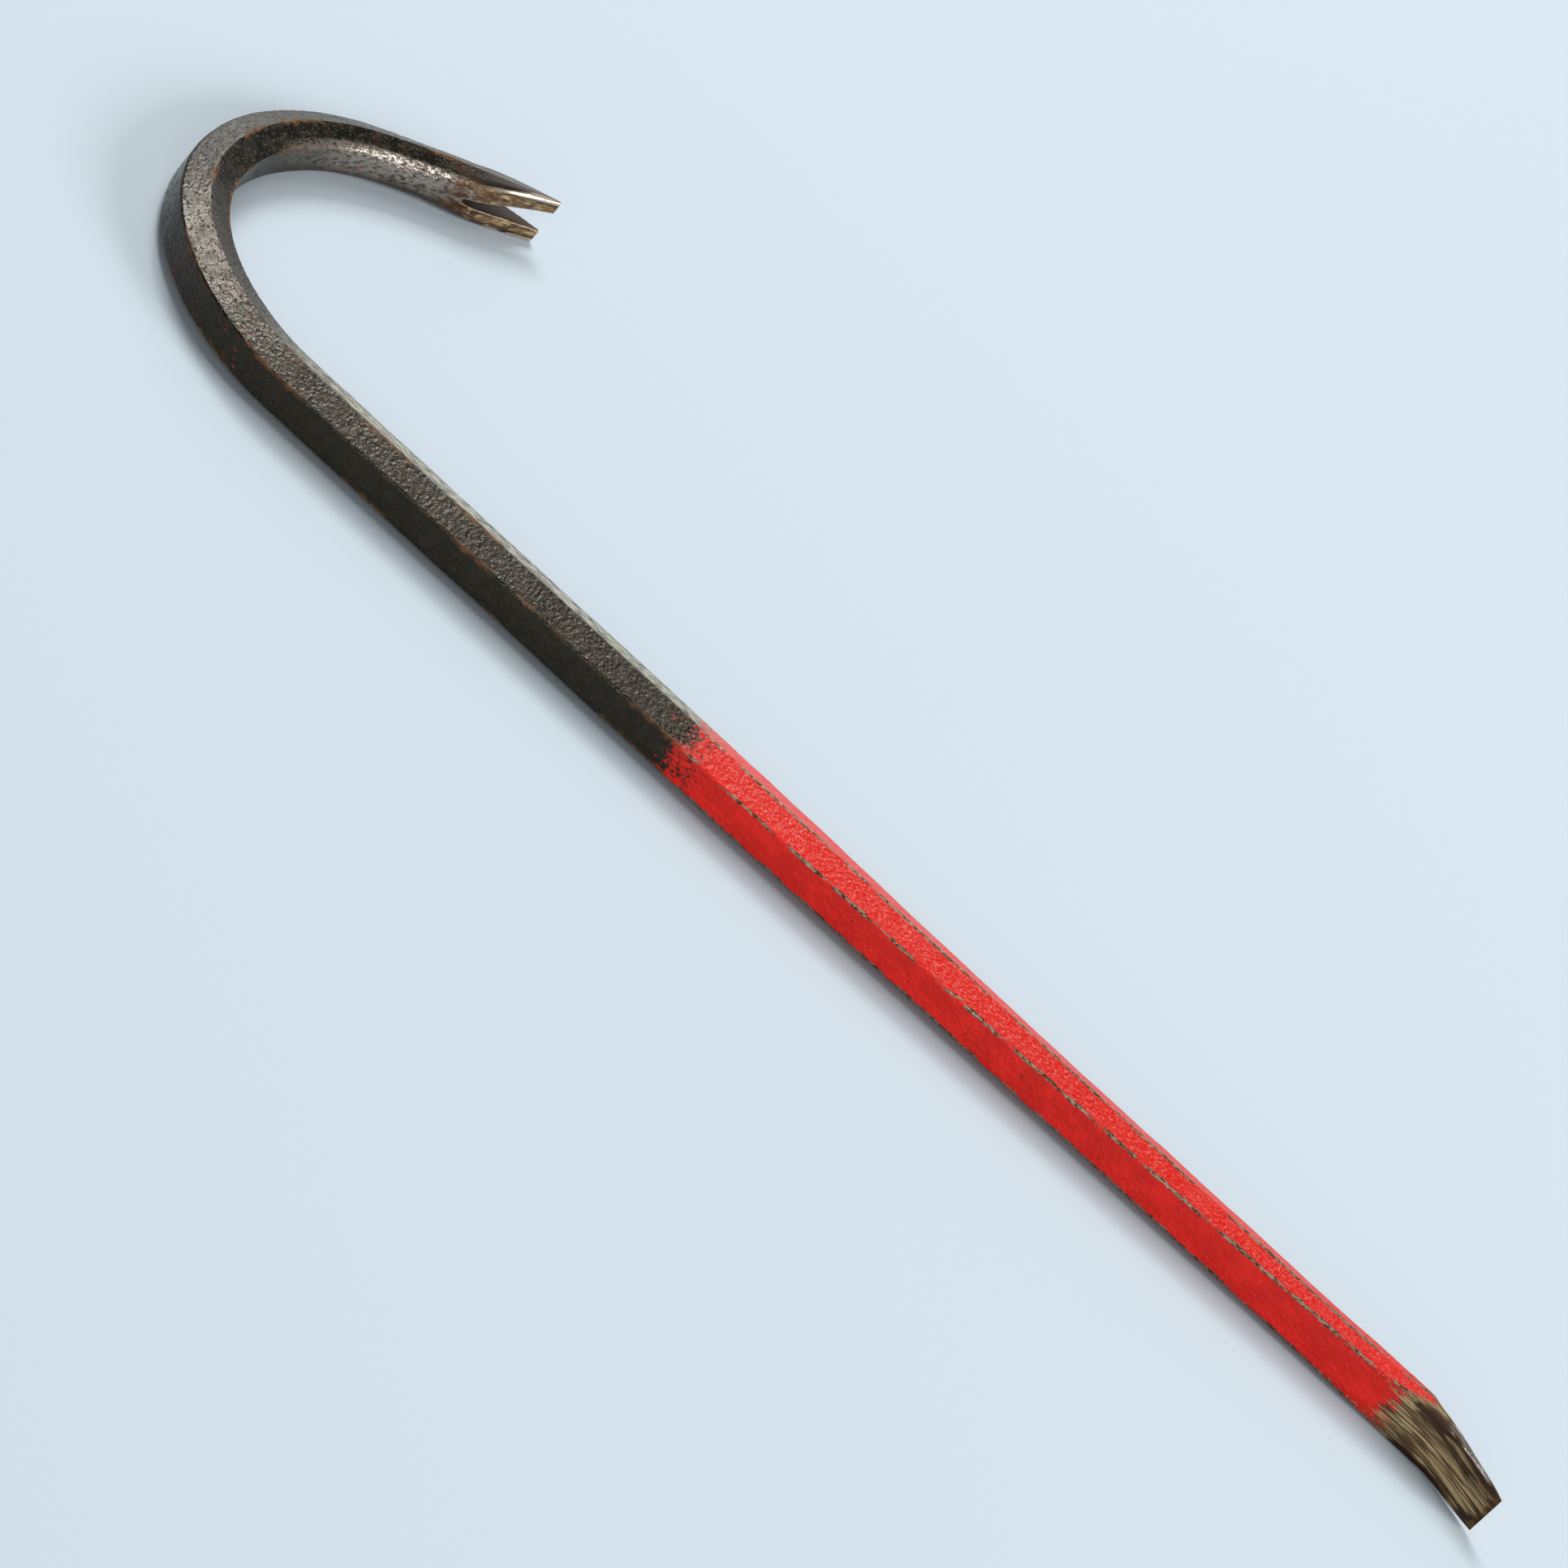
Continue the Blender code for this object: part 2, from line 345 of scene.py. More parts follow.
def clawPiece(name):
    shape, _ = rolledTube(clawStart - claw["overlap"], barEnd, claw["step"])
    bmesh.ops.holes_fill(shape, edges=[edge for edge in shape.edges if edge.is_boundary], sides=0)
    bmesh.ops.recalc_face_normals(shape, faces=shape.faces)
    solid = asObject("solid", shape)

    # the slot's cutter: a closed end, then straight sides that open out past the tips; it reaches further
    # back on the inner side
    radius, steps, past = claw["slotRoot"], claw["slotSteps"], barEnd + claw["slotPast"]
    shape = bmesh.new()
    for side in (-1, 1):
        root = barEnd - claw["slotLength"] - side * claw["slotLean"]
        mouth = slotHalf(past - root)
        turns = [k * math.pi / steps for k in range(steps + 1)]
        plan = [(root + radius - radius * math.sin(turn), radius * math.cos(turn)) for turn in turns]
        plan += [(past, -mouth), (past, mouth)]
        shape.faces.new([shape.verts.new(placed(station, side * claw["slotReach"], across))
                         for station, across in plan])
    bmesh.ops.bridge_loops(shape, edges=shape.edges[:])
    bmesh.ops.recalc_face_normals(shape, faces=shape.faces)
    cutter = asObject("cutter", shape)

    cut = solid.modifiers.new("slot", "BOOLEAN")
    cut.operation = "DIFFERENCE"
    cut.solver = "EXACT"
    cut.object = cutter
    voxels = solid.modifiers.new("voxels", "REMESH")
    voxels.mode = "VOXEL"
    voxels.voxel_size = claw["voxel"] * mm
    mesh = bpy.data.meshes.new_from_object(solid.evaluated_get(bpy.context.evaluated_depsgraph_get()))
    shape = bmesh.new()
    shape.from_mesh(mesh)
    for spare in (solid, cutter):
        bpy.data.objects.remove(spare)
    bpy.data.meshes.remove(mesh)
    free = [vert for vert in shape.verts if clawSpot(vert.co)[0] > clawStart + claw["smoothFrom"]]
    for _ in range(claw["smoothing"]):
        bmesh.ops.smooth_vert(shape, verts=free, factor=0.5,
                              use_axis_x=True, use_axis_y=True, use_axis_z=True)
    slotLayer = shape.verts.layers.float.new("slotGap")
    for vert in shape.verts:
        station, depth, across = clawSpot(vert.co)
        run = station - (barEnd - claw["slotLength"]) + depth / claw["slotReach"] * claw["slotLean"]
        vert[slotLayer] = math.hypot(max(0.0, abs(across) - slotHalf(max(0.0, run))), min(0.0, run))
    point, heading = centreline(clawStart)
    bmesh.ops.bisect_plane(shape, geom=shape.verts[:] + shape.edges[:] + shape.faces[:],
                           dist=bar["mergeGap"] * mm / 2, plane_co=placed(clawStart, 0, 0),
                           plane_no=(math.cos(heading), math.sin(heading), 0), clear_inner=True)
    return finished(name, shape, lambda vert: clawSpot(vert.co))


def hexColour(text):
    # sRGB hex to linear
    values = [int(text[k:k + 2], 16) / 255 for k in (1, 3, 5)]
    return tuple(v / 12.92 if v <= 0.04045 else ((v + 0.055) / 1.055) ** 2.4 for v in values) + (1.0,)


def add(tree, kind, inputs=None, **settings):
    # one node with its settings, and each input either linked or set
    node = tree.nodes.new(kind)
    for key, value in settings.items():
        setattr(node, key, value)
    for key, value in (inputs or {}).items():
        socket = node.inputs[key]
        if isinstance(value, bpy.types.NodeSocket):
            tree.links.new(value, socket)
        else:
            socket.default_value = value
    return node


def where(tree, *parts):
    # 1 where all the parts hold; a part is a mask, or a value with the numbers where it starts and is full
    made = None
    for part in parts:
        if isinstance(part, tuple):
            value, start, full = part
            part = add(tree, "ShaderNodeMapRange", {"Value": value, "From Min": start, "From Max": full},
                       interpolation_type="SMOOTHSTEP").outputs[0]
        if made is not None:
            part = add(tree, "ShaderNodeMath", {0: made, 1: part}, operation="MULTIPLY").outputs[0]
        made = part
    return made


# The finishes read "at", the places on the bar in mm: along (the next three as one vector), station,
# depth (towards the inner side), across, side (across without its sign) and corner (distance to the
# nearest corner). A finish may add ragged ones of its own.
def patches(tree, at, size, stretch=1.0, shift=0.0, cut=(0.5, 0.6), detail=2.0):
    # soft-edged patches of a size in mm, longer along the bar where stretch is above 1: 1 inside, 0 outside
    turned = add(tree, "ShaderNodeMapping", {"Vector": at["along"], "Scale": (1 / stretch, 1.0, 1.0),
                                             "Location": (shift, shift * 1.7, shift * 0.6)})
    pattern = add(tree, "ShaderNodeTexNoise", {"Vector": turned.outputs[0], "Scale": 1 / size,
                                               "Detail": detail})
    return where(tree, (pattern.outputs["Fac"], *cut))


def wandering(tree, at, value, amount, size, stretch=1.0, shift=0.0):
    # a value in mm that wanders by an amount, so that a limit on it gets a ragged edge
    turned = add(tree, "ShaderNodeMapping", {"Vector": at["along"], "Scale": (1 / stretch, 1.0, 1.0),
                                             "Location": (shift, shift, shift)})
    pattern = add(tree, "ShaderNodeTexNoise", {"Vector": turned.outputs[0], "Scale": 1 / size,
                                               "Detail": 4.0})
    centred = add(tree, "ShaderNodeMath", {0: pattern.outputs["Fac"], 1: 0.5}, operation="SUBTRACT")
    return add(tree, "ShaderNodeMath", {0: centred.outputs[0], 1: amount, 2: value},
               operation="MULTIPLY_ADD").outputs[0]


def placeOf(tree, at, coat, *masks):
    # where a coat lies: inside the masks, within its own limits (a place on the bar, and the values where
    # it starts and is full) and in its own patches
    parts = [*masks, *((at[place], start, full) for place, start, full in coat.get("within", ()))]
    if "patches" in coat:
        parts.append(patches(tree, at, **coat["patches"]))
    return where(tree, *parts)


def laidOver(tree, at, under, over, *masks):
    # one coat over another where the masks and the upper coat's own limits and patches hold; its rise in mm
    mask = placeOf(tree, at, over, *masks)
    made = {}
    for key in ("colour", "roughness", "metallic", "height"):
        if key in under:
            made[key] = under[key]
        if key in over:
            first, second = [hexColour(value) if isinstance(value, str) else value
                             for value in (under[key], over[key])]
            kind, a, b, result = ("RGBA", 6, 7, 2) if key == "colour" else ("FLOAT", 2, 3, 0)
            mix = add(tree, "ShaderNodeMix", {0: mask, a: first, b: second}, data_type=kind)
            made[key] = mix.outputs[result]
    if "rise" in over:
        lift = add(tree, "ShaderNodeMath", {0: mask, 1: over["rise"], 2: made["height"]},
                   operation="MULTIPLY_ADD")
        made["height"] = lift.outputs[0]
    return made


rust = {
    "brown": {"colour": "#5e3d20", "roughness": 0.7, "metallic": 0.0},
    "grains": {"colour": "#2a1a10",
               "patches": {"size": 1.4, "stretch": 2.0, "shift": 15.0, "cut": (0.40, 0.62), "detail": 4.0}},
}


def lightRust(tree, at):
    # Light surface rust: matt brown with darker grains
    return laidOver(tree, at, rust["brown"], rust["grains"])


lacquer = {
    "dark": {"colour": "#0c0a05", "roughness": 0.27, "metallic": 0.0, "height": 0.0},
    "light": {"colour": "#1b170c", "roughness": 0.42,
              "patches": {"size": 4.5, "shift": 12.0, "cut": (0.42, 0.66), "detail": 4.0}},
    "stain": {"colour": "#20140b",
              "patches": {"size": 7.0, "shift": 40.0, "cut": (0.55, 0.75), "detail": 3.0}},
    # forge scale under the lacquer, which stands higher on the shank and lower inside the hook
    "scale": {"size": 1.35, "shift": 3.0, "cut": (0.25, 0.75)},
    "scaleRises": (
        {"rise": 0.045},
        {"rise": 0.10, "within": [("station", 590.0, 510.0)]},
        {"rise": -0.036, "within": [("station", 540.0, 600.0), ("depth", 0.0, 3.0)]},
    ),
    "pit": {"colour": "#090805", "roughness": 0.6, "rise": -0.14,
            "patches": {"size": 1.4, "shift": 77.0, "cut": (0.60, 0.70), "detail": 1.0}},
    # painted sheen: pale grey on the shank's inner slopes, standing in for light glancing off them
    "paintedSheen": {"colour": "#929184", "roughness": 0.55,
              "within": [("side", 5.9, 6.6), ("depth", 0.4, 2.2), ("station", 515.0, 465.0)],
              "patches": {"size": 1.2, "stretch": 3.0, "shift": 27.0, "cut": (0.34, 0.60), "detail": 5.0}},
    "rustWander": {"amount": 3.2, "size": 1.6, "stretch": 2.0, "shift": 4.0},
    "rustWidth": (1.5, 0.4),    # from the corners
    "rustStretches": {"size": 6.0, "stretch": 4.0, "shift": 50.0, "cut": (0.47, 0.56), "detail": 3.0},
}


def blackLacquer(tree, at):
    # Stoved black lacquer over hot-forged scale: near black with an olive cast, pits that stay dark and
    # a low gloss that breaks up into bright specks over the scale
    coat = laidOver(tree, at, lacquer["dark"], lacquer["light"])
    coat = laidOver(tree, at, coat, lacquer["stain"])
    scale = patches(tree, at, **lacquer["scale"])
    for rise in lacquer["scaleRises"]:
        coat = laidOver(tree, at, coat, rise, scale)
    return laidOver(tree, at, coat, lacquer["pit"])


def lacquered(tree, at):
    # black lacquer with a painted sheen on the shank's inner slopes, a pale grey standing in for light
    # glancing off them, and stretches of rust along its corners
    coat = laidOver(tree, at, blackLacquer(tree, at), lacquer["paintedSheen"])
    edge = wandering(tree, at, at["corner"], **lacquer["rustWander"])
    return laidOver(tree, at, coat, lightRust(tree, at), where(tree, (edge, *lacquer["rustWidth"])),
                    patches(tree, at, **lacquer["rustStretches"]))


enamel = {
    "deep": {"colour": "#c60c06", "roughness": 0.34, "metallic": 0.0, "height": 0.0},
    "bright": {"colour": "#d7140d", "roughness": 0.42,
               "patches": {"size": 5.0, "stretch": 2.0, "shift": 5.0, "cut": (0.40, 0.65)}},
    "orangePeel": {"rise": 0.22,
                   "patches": {"size": 1.3, "stretch": 1.3, "shift": 9.0, "cut": (0.25, 0.75)}},
    "pinhole": {"colour": "#6a0f09", "roughness": 0.6, "rise": -0.12,
                "patches": {"size": 1.1, "shift": 21.0, "cut": (0.74, 0.79), "detail": 1.0}},
    # the sides are faded, with chalky scuffs
    "faded": {"colour": "#b60a06", "within": [("side", 5.6, 6.8)]},
    "scuff": {"colour": "#c9574d", "roughness": 0.5, "within": [("side", 5.6, 6.8)],
              "patches": {"size": 0.7, "stretch": 1.5, "shift": 25.0, "cut": (0.50, 0.70), "detail": 4.0}},
    "thickness": 0.1,
    "raggedLimit": ({"amount": 26.0, "size": 8.0, "shift": 6.0},
                    {"amount": 41.6, "size": 1.1, "stretch": 1.4, "shift": 66.0}),
    "limit": (bar["paintLine"] + 6.0, bar["paintLine"] - 6.0),
    # chips down to grey-brown steel along the corners, with dirt in them
    "chipWander": {"amount": 2.0, "size": 1.0, "stretch": 2.6, "shift": 14.0},
    "chipWidth": (0.85, 0.55),
    "chipPlaces": {
        "within": [("station", bar["paintLine"] + 2, bar["paintLine"] - 2)],
        "patches": {"size": 3.6, "stretch": 3.4, "shift": 61.0, "cut": (0.41, 0.47), "detail": 3.0}},
    "chip": {"colour": "#8b7664", "roughness": 0.3, "metallic": 0.4, "rise": -0.25},
    "chipDirt": {
        "colour": "#3d2717",
        "patches": {"size": 0.9, "stretch": 2.2, "shift": 71.0, "cut": (0.46, 0.58), "detail": 3.0}},
}


def redEnamel(tree, at):
    # Brushed-on red enamel: strong colour, low gloss, orange peel, and a few dark pinholes
    coat = enamel["deep"]
    for layer in ("bright", "orangePeel", "pinhole", "faded", "scuff"):
        coat = laidOver(tree, at, coat, enamel[layer])
    return coat


def enamelled(tree, at, coat):
    # red enamel brushed over the lacquer below the paint line, or on its own
    red = redEnamel(tree, at)
    if coat is None:
        coat = red
    else:
        limit = at["station"]
        for ragged in enamel["raggedLimit"]:
            limit = wandering(tree, at, limit, **ragged)
        coat = laidOver(tree, at, coat, dict(red, rise=enamel["thickness"]),
                        where(tree, (limit, *enamel["limit"])))
    edge = wandering(tree, at, at["corner"], **enamel["chipWander"])
    chips = placeOf(tree, at, enamel["chipPlaces"], where(tree, (edge, *enamel["chipWidth"])))
    coat = laidOver(tree, at, coat, enamel["chip"], chips)
    return laidOver(tree, at, coat, enamel["chipDirt"], chips)


steel = {
    "tan": {"colour": "#ab9268", "roughness": 0.32, "metallic": 0.4, "height": 0.0},
    "brown": {"colour": "#5c432e", "roughness": 0.50},
    "brownRun": 9.0,         # a mottle is stretched by 1 more for so many widths of the lines' run
    "brownMottles": {"size": 1.2, "shift": 8.0, "cut": (0.40, 0.62), "detail": 5.0},
    "soot": {"colour": "#1e140d", "metallic": 0.2},
    "sootRun": 16.0,
    "sootMottles": {"size": 3.6, "shift": 33.0, "cut": (0.52, 0.68), "detail": 6.0},
    # grinding lines and bright scratches; real ones are finer and would not show
    "line": "#3a2b1e",
    "lines": {"size": 0.36, "shift": 2.0, "cut": (0.49, 0.58), "detail": 1.0},
    "lineRise": 0.0006,      # for each width of a line's run, mm
    "scratch": "#b49f76",
    "scratches": {"size": 0.34, "shift": 19.0, "cut": (0.50, 0.62)},
    "scratchedPlaces": {"size": 5.0, "stretch": 2.0, "shift": 44.0, "cut": (0.42, 0.60)},
}


def groundSteel(tree, at, run):
    # Carbon steel ground along the bar and then handled: tan film, thin dark grinding lines that follow
    # the bar for a run of so many widths, soot-dark mottles and a dull metallic sheen
    coat = laidOver(tree, at, steel["tan"], steel["brown"],
                    patches(tree, at, stretch=1 + run / steel["brownRun"], **steel["brownMottles"]))
    coat = laidOver(tree, at, coat, steel["soot"],
                    patches(tree, at, stretch=1 + run / steel["sootRun"], **steel["sootMottles"]))
    rise = run * steel["lineRise"]
    coat = laidOver(tree, at, coat, {"colour": steel["line"], "rise": -rise},
                    patches(tree, at, stretch=2 * run, **steel["lines"]))
    return laidOver(tree, at, coat, {"colour": steel["scratch"], "rise": rise},
                    patches(tree, at, stretch=run, **steel["scratches"]),
                    patches(tree, at, **steel["scratchedPlaces"]))


blade = {
    "run": 80.0,             # of the grinding lines, in widths
    "outerBack": 0.9,        # how far the enamel's end draws back for each mm towards the outer face
    "raggedLimit": ({"amount": 15.0, "size": 5.0, "shift": 8.0},
                    {"amount": 12.0, "size": 0.6, "stretch": 7.0, "shift": 88.0},
                    {"amount": 9.0, "size": 0.4, "stretch": 1.6, "shift": 58.0}),
    "limit": (3.5, -1.5),
    # soot and purple-brown heat stain along both long edges and on the narrow sides
    "edgeWander": {"amount": 7.0, "size": 3.0, "stretch": 4.0, "shift": 91.0},
    "edgeStain": {"colour": "#27140f", "roughness": 0.34, "metallic": 0.1,
                  "within": [("edge", 5.6, 8.0), ("limit", -4.0, -9.0)]},
    # brown stain over the upper part of the face
    "upperWander": {"amount": 4.0, "size": 2.0, "stretch": 5.0, "shift": 93.0},
    "upperStain": {
        "colour": "#352011", "roughness": 0.4, "metallic": 0.15,
        "within": [("upper", 1.5, 5.5), ("limit", -3.0, -8.0)],
        "patches": {"size": 1.4, "stretch": 9.0, "shift": 95.0, "cut": (0.36, 0.54), "detail": 4.0}},
    # thin bright streaks on the narrow sides, burnished by prying; the sides close in by the taper
    "taper": -0.055,
    "streak": {"colour": "#d9d2c8", "roughness": 0.16, "metallic": 0.9,
               "within": [("narrow", 9.3, 9.6), ("station", -6.0, -10.0), ("station", -29.0, -24.0)],
               "patches": {"size": 0.8, "stretch": 18.0, "shift": 53.0, "cut": (0.50, 0.58)}},
    "rimWander": {"amount": 5.0, "size": 2.0, "shift": 23.0},
    "rustyRim": (-30.5, -33.5),
}


def bladed(tree, at, coat):
    # bare ground steel on the blade; the enamel stops short on the outer face and runs on to the shoulder
    # at the sides
    outerSide = add(tree, "ShaderNodeMath", {0: at["depth"], 1: 0.0}, operation="MINIMUM").outputs[0]
    limit = add(tree, "ShaderNodeMath", {0: outerSide, 1: blade["outerBack"], 2: at["station"]},
                operation="MULTIPLY_ADD").outputs[0]
    for ragged in blade["raggedLimit"]:
        limit = wandering(tree, at, limit, **ragged)
    narrow = add(tree, "ShaderNodeMath", {0: at["station"], 1: blade["taper"], 2: at["side"]},
                 operation="MULTIPLY_ADD").outputs[0]
    at = dict(at, limit=limit, narrow=narrow,
              edge=wandering(tree, at, at["side"], **blade["edgeWander"]),
              upper=wandering(tree, at, at["across"], **blade["upperWander"]))
    coat = laidOver(tree, at, coat, groundSteel(tree, at, blade["run"]),
                    where(tree, (limit, *blade["limit"])))
    for layer in ("edgeStain", "upperStain", "streak"):
        coat = laidOver(tree, at, coat, blade[layer])
    rim = wandering(tree, at, at["station"], **blade["rimWander"])
    return laidOver(tree, at, coat, lightRust(tree, at), where(tree, (rim, *blade["rustyRim"])))


hook = {
    "depthWander": {"amount": 1.8, "size": 2.0, "stretch": 2.0, "shift": 47.0},
    "startWander": {"amount": 40.0, "size": 9.0, "stretch": 2.0, "shift": 37.0},
    "acrossWander": {"amount": 6.0, "size": 3.0, "stretch": 3.0, "shift": 83.0},
    # the inner face, rubbed down to a dark film, with bright metal only towards the upper side, so that it
    # is darker towards its lower side
    "rubbedPlaces": {"within": [("start", 610.0, 680.0), ("inner", 6.3, 8.0)]},
    "film": {"colour": "#231a16", "roughness": 0.34},
    "metal": {"colour": "#8a837b", "roughness": 0.26, "metallic": 0.75, "within": [("upper", -6.0, 1.0)],
              "patches": {"size": 0.9, "stretch": 2.4, "shift": 67.0, "cut": (0.32, 0.58), "detail": 4.0}},
    "bumps": {"rise": 0.13, "within": [("station", 640.0, 690.0)],
               "patches": {"size": 1.0, "stretch": 1.4, "shift": 69.0, "cut": (0.3, 0.7)}},
    # smears of red from other tools, inside the arm and outside the bend's start
    "armSmear": {
        "colour": "#7a2428", "roughness": 0.4, "metallic": 0.0,
        "within": [("inner", 7.0, 9.0), ("station", 630.0, 645.0), ("station", 705.0, 690.0)],
        "patches": {"size": 1.8, "stretch": 1.8, "shift": 97.0, "cut": (0.63, 0.71), "detail": 5.0}},
    "bendSmear": {
        "colour": "#7a2428", "roughness": 0.5,
        "within": [("depth", 2.0, -2.0), ("station", 480.0, 492.0), ("station", 545.0, 530.0)],
        "patches": {"size": 1.0, "stretch": 2.5, "shift": 99.0, "cut": (0.64, 0.70), "detail": 4.0}},
}


def rubbedInside(tree, at, coat):
    # the hook's inner face, rubbed smooth and glossy
    at = dict(at, inner=wandering(tree, at, at["depth"], **hook["depthWander"]),
              start=wandering(tree, at, at["station"], **hook["startWander"]),
              upper=wandering(tree, at, at["across"], **hook["acrossWander"]))
    rubbed = placeOf(tree, at, hook["rubbedPlaces"])
    for layer in ("film", "metal", "bumps"):
        coat = laidOver(tree, at, coat, hook[layer], rubbed)
    for layer in ("armSmear", "bendSmear"):
        coat = laidOver(tree, at, coat, hook[layer])
    return coat


tines = {
    "run": 14.0,             # of the grinding lines, in widths
    "metallic": 0.15,
    "limitWander": {"amount": 24.0, "size": 5.0, "stretch": 1.5, "shift": 17.0},
    "limit": (barEnd - 38, barEnd - 26),
    # a brown band round the claw's root
    "rootWander": {"amount": 20.0, "size": 4.0, "stretch": 1.5, "shift": 29.0},
    "rootStain": {
        "colour": "#3c1e10", "roughness": 0.30, "metallic": 0.2,
        "within": [("root", barEnd - 46, barEnd - 38), ("root", barEnd - 20, barEnd - 30)],
        "patches": {"size": 2.4, "stretch": 1.5, "shift": 81.0, "cut": (0.38, 0.54), "detail": 5.0}},
    "onClaw": {"within": [("station", barEnd - 46, barEnd - 34)]},
    "handStain": {
        "colour": "#5b4228", "roughness": 0.45, "metallic": 0.1,
        "patches": {"size": 4.2, "stretch": 2.2, "shift": 31.0, "cut": (0.40, 0.68), "detail": 6.0}},
    "nailStain": {
        "colour": "#2c1c10", "roughness": 0.45, "metallic": 0.1,
        "patches": {"size": 3.2, "stretch": 2.2, "shift": 35.0, "cut": (0.50, 0.72), "detail": 6.0}},
    "sideWander": {"amount": 3.0, "size": 2.0, "stretch": 4.0, "shift": 39.0},
    # painted shade: the claw's sides coloured near black
    "paintedShadeSide": {"colour": "#150c07", "roughness": 0.32, "metallic": 0.0, "within": [("edge", 6.9, 8.4)]},
    # the ridge beside the slot, worn bright
    "ridge": {"colour": "#d2c3b0", "roughness": 0.2, "metallic": 0.9,
              "within": [("corner", 1.7, 0.7), ("depth", 1.0, 5.0)],
              "patches": {"size": 2.0, "stretch": 8.0, "shift": 62.0, "cut": (0.40, 0.50)}},
    # the slot: walls coloured near black, between lips worn bright in places
    "lipWander": {"amount": 0.8, "size": 1.2, "stretch": 3.0, "shift": 57.0},
    "lip": {"colour": "#bcaa92", "roughness": 0.24, "metallic": 0.85, "within": [("lip", 0.75, 0.5)],
            "patches": {"size": 2.2, "stretch": 4.0, "shift": 64.0, "cut": (0.42, 0.54)}},
    "wall": {"colour": "#22130e", "roughness": 0.55, "metallic": 0.0, "within": [("gap", 0.45, 0.25)]},
}


def clawed(tree, at, coat):
    # the claw's bare steel: ground, knocked, and stained brown by hands and nails, with painted shade on
    # its sides
    gap = add(tree, "ShaderNodeAttribute", attribute_name="slotGap").outputs["Fac"]
    at = dict(at, gap=gap, lip=wandering(tree, at, gap, **tines["lipWander"]),
              root=wandering(tree, at, at["station"], **tines["rootWander"]),
              edge=wandering(tree, at, at["side"], **tines["sideWander"]))
    limit = wandering(tree, at, at["station"], **tines["limitWander"])
    ground = dict(groundSteel(tree, at, tines["run"]), metallic=tines["metallic"])
    coat = laidOver(tree, at, coat, ground, where(tree, (limit, *tines["limit"])))
    coat = laidOver(tree, at, coat, tines["rootStain"])
    onClaw = placeOf(tree, at, tines["onClaw"])
    for layer in ("handStain", "nailStain", "paintedShadeSide", "ridge", "lip", "wall"):
        coat = laidOver(tree, at, coat, tines[layer], onClaw)
    return coat


# Every finish has been handled: dust gives it a pale sheen at its edges, and oil warms its highlights.
handled = {
    "dust": 0.15,
    "dustRoughness": 0.18,
    "dustTint": "#d6d5c2",
    "oilTint": "#fff1da",
}


def barFinish(name, layers, shine):
    # a material with the named layers laid one over another; shine is its specular level
    material = bpy.data.materials.new(name)
    material.use_nodes = True
    tree = material.node_tree
    tree.nodes.clear()
    along = add(tree, "ShaderNodeAttribute", attribute_name="along").outputs["Vector"]
    station, depth, across = add(tree, "ShaderNodeSeparateXYZ", {"Vector": along}).outputs
    side = add(tree, "ShaderNodeMath", {0: across, 1: 0.0}, operation="ABSOLUTE").outputs[0]
    corner = add(tree, "ShaderNodeAttribute", attribute_name="cornerGap").outputs["Fac"]
    at = {"along": along, "station": station, "depth": depth, "across": across, "side": side,
          "corner": corner}

    coat = lacquered(tree, at) if "lacquer" in layers else None
    for layer, laid in (("enamel", enamelled), ("blade", bladed), ("hook", rubbedInside), ("claw", clawed)):
        if layer in layers:
            coat = laid(tree, at, coat)

    bump = add(tree, "ShaderNodeBump", {"Height": coat["height"], "Distance": mm, "Strength": 1.0})
    shader = add(tree, "ShaderNodeBsdfPrincipled", {
        "Base Color": coat["colour"], "Roughness": coat["roughness"], "Metallic": coat["metallic"],
        "Specular IOR Level": shine, "Specular Tint": hexColour(handled["oilTint"]),
        "Sheen Weight": handled["dust"], "Sheen Roughness": handled["dustRoughness"],
        "Sheen Tint": hexColour(handled["dustTint"]), "Normal": bump.outputs[0]})
    add(tree, "ShaderNodeOutputMaterial", {"Surface": shader.outputs[0]})
    print(name, "with", len(tree.nodes), "nodes")
    return material


pieces = {
    "lacqueredClaw": (
        "nail_claw", clawPiece("lacqueredClaw"),
        barFinish("groundAndLacqueredSteel", ("lacquer", "hook", "claw"), shine=0.34)),
    "forgedGooseneck": (
        "gooseneck", barLength("forgedGooseneck", bar["shankLength"], clawStart, bar["step"]),
        barFinish("stovedBlackLacquer", ("lacquer", "hook"), shine=0.34)),
    "blackShank": (
        "upper_shank", barLength("blackShank", bar["paintLine"], bar["shankLength"], bar["step"]),
        barFinish("lacquerToEnamel", ("lacquer", "enamel", "hook"), shine=0.34)),
    "redShank": (
        "lower_shank", barLength("redShank", bar["chiselLine"], bar["paintLine"], bar["step"]),
        barFinish("brushedRedEnamel", ("lacquer", "enamel", "blade"), shine=0.32)),
    "groundBlade": (
        "chisel_end", barLength("groundBlade", -bar["bladeLength"], bar["chiselLine"], bar["bladeStep"]),
        barFinish("groundBladeSteel", ("enamel", "blade"), shine=0.24)),
}
for piece, (node, item, finish) in pieces.items():
    item.data.materials.append(finish)
    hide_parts(node)
    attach(item, "root")
print("pieces made")


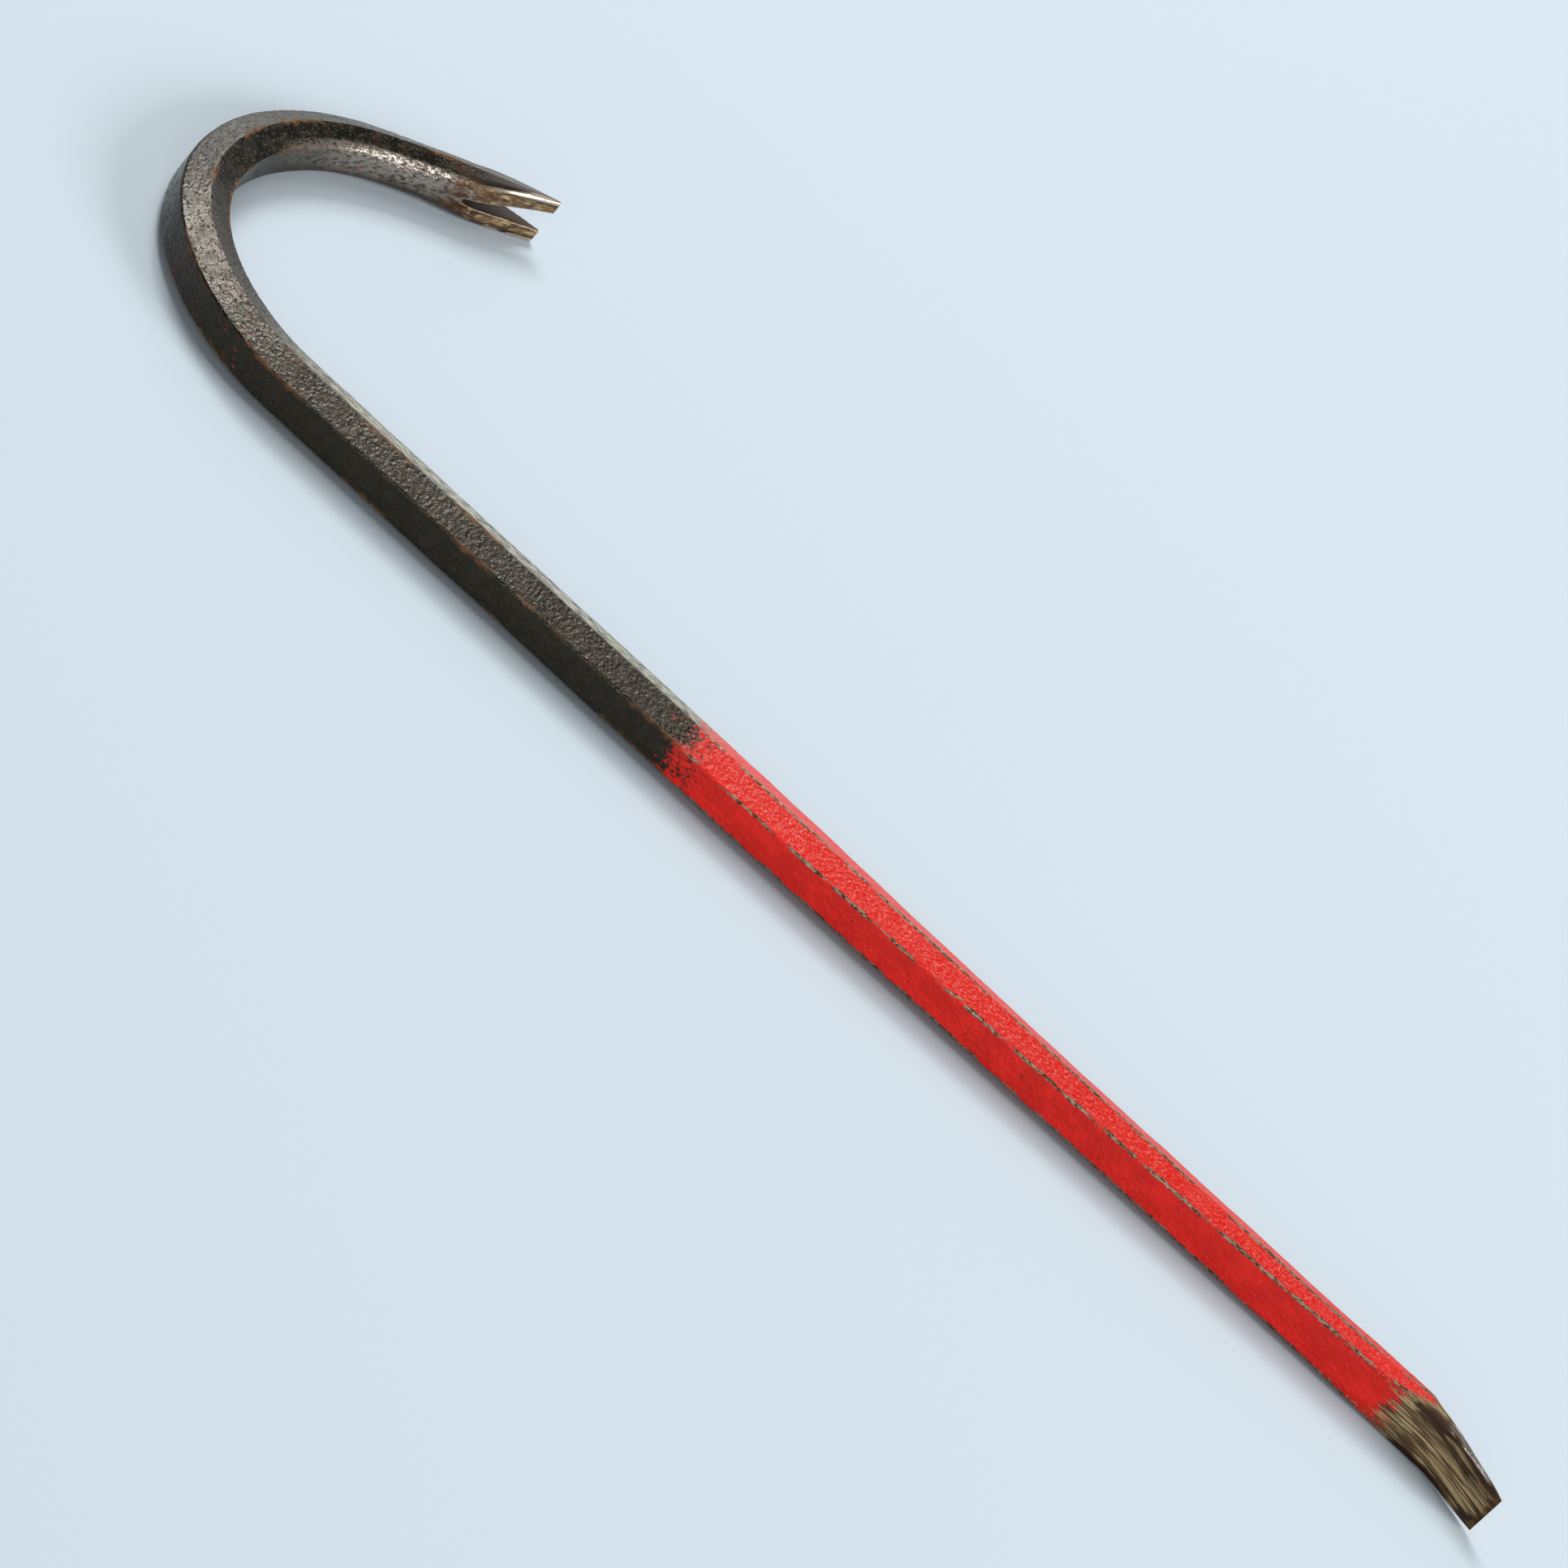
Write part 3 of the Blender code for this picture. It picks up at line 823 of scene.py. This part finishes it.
studio = {
    "floorColour": "#aab4bb",
    "floorSize": 14.0,
    "worldColour": "#e6edf2",
    "worldStrength": 0.16,
    # direction of each light from the bar, distance, width and height in metres, and brightness
    "lights": {
        "leftKey": ((-0.45, 0.52, 0.74), 4.0, 1.5, 1.5, 18.5),
        "overhead": ((-0.25, 0.25, 0.93), 4.0, 2.6, 2.6, 2.4),
        "right": ((0.84, -0.05, 0.48), 3.5, 1.7, 1.7, 13.0),
        "horizon": ((-0.32, 0.87, 0.38), 5.0, 2.4, 2.4, 3.0),
        "lowBack": ((-0.05, 1.0, 0.09), 5.0, 2.2, 0.8, 1.2),
        "front": ((0.1, -0.9, 0.45), 4.0, 2.4, 2.4, 4.3),
    },
    "aim": Vector((-0.018456, -0.063371, 0.0098)),
    "azimuth": 0.248,
    "elevation": 31.509,
    "roll": 42.518,
    "distance": 2.09263,
    "lens": 150.72,
    "farEnd": 50.0,          # of what the camera draws
}

shape = bmesh.new()
bmesh.ops.create_grid(shape, x_segments=1, y_segments=1, size=studio["floorSize"] / 2)
floor = asObject("floor", shape)
paper = bpy.data.materials.new("mattPaper")
paper.use_nodes = True
paperShader = paper.node_tree.nodes["Principled BSDF"]
paperShader.inputs["Base Color"].default_value = hexColour(studio["floorColour"])
paperShader.inputs["Roughness"].default_value = 1.0
paperShader.inputs["Specular IOR Level"].default_value = 0.0
floor.data.materials.append(paper)

for name, (direction, distance, width, height, brightness) in studio["lights"].items():
    lamp = bpy.data.lights.new(name, "AREA")
    lamp.shape = "RECTANGLE"
    lamp.size, lamp.size_y = width, height
    lamp.energy = brightness * math.pi * width * height
    light = bpy.data.objects.new(name, lamp)
    towards = Vector(direction).normalized()
    light.location = studio["aim"] + towards * distance
    light.rotation_euler = towards.to_track_quat("Z", "Y").to_euler()
    bpy.context.scene.collection.objects.link(light)

world = bpy.data.worlds.new("studio")
world.use_nodes = True
sky = world.node_tree.nodes["Background"]
sky.inputs["Color"].default_value = hexColour(studio["worldColour"])
sky.inputs["Strength"].default_value = studio["worldStrength"]
bpy.context.scene.world = world

lens = bpy.data.cameras.new("camera")
lens.lens = studio["lens"]
lens.clip_end = studio["farEnd"]
camera = bpy.data.objects.new("camera", lens)
azimuth, elevation, roll = [math.radians(studio[key]) for key in ("azimuth", "elevation", "roll")]
turn = (Matrix.Rotation(azimuth, 4, "Z") @ Matrix.Rotation(math.pi / 2 - elevation, 4, "X")
        @ Matrix.Rotation(roll, 4, "Z"))
camera.matrix_world = (Matrix.Translation(studio["aim"]) @ turn
                       @ Matrix.Translation((0, 0, studio["distance"])))
bpy.context.scene.collection.objects.link(camera)
bpy.context.scene.camera = camera
bpy.context.scene.view_settings.view_transform = "Standard"
print("floor, lights and camera set")
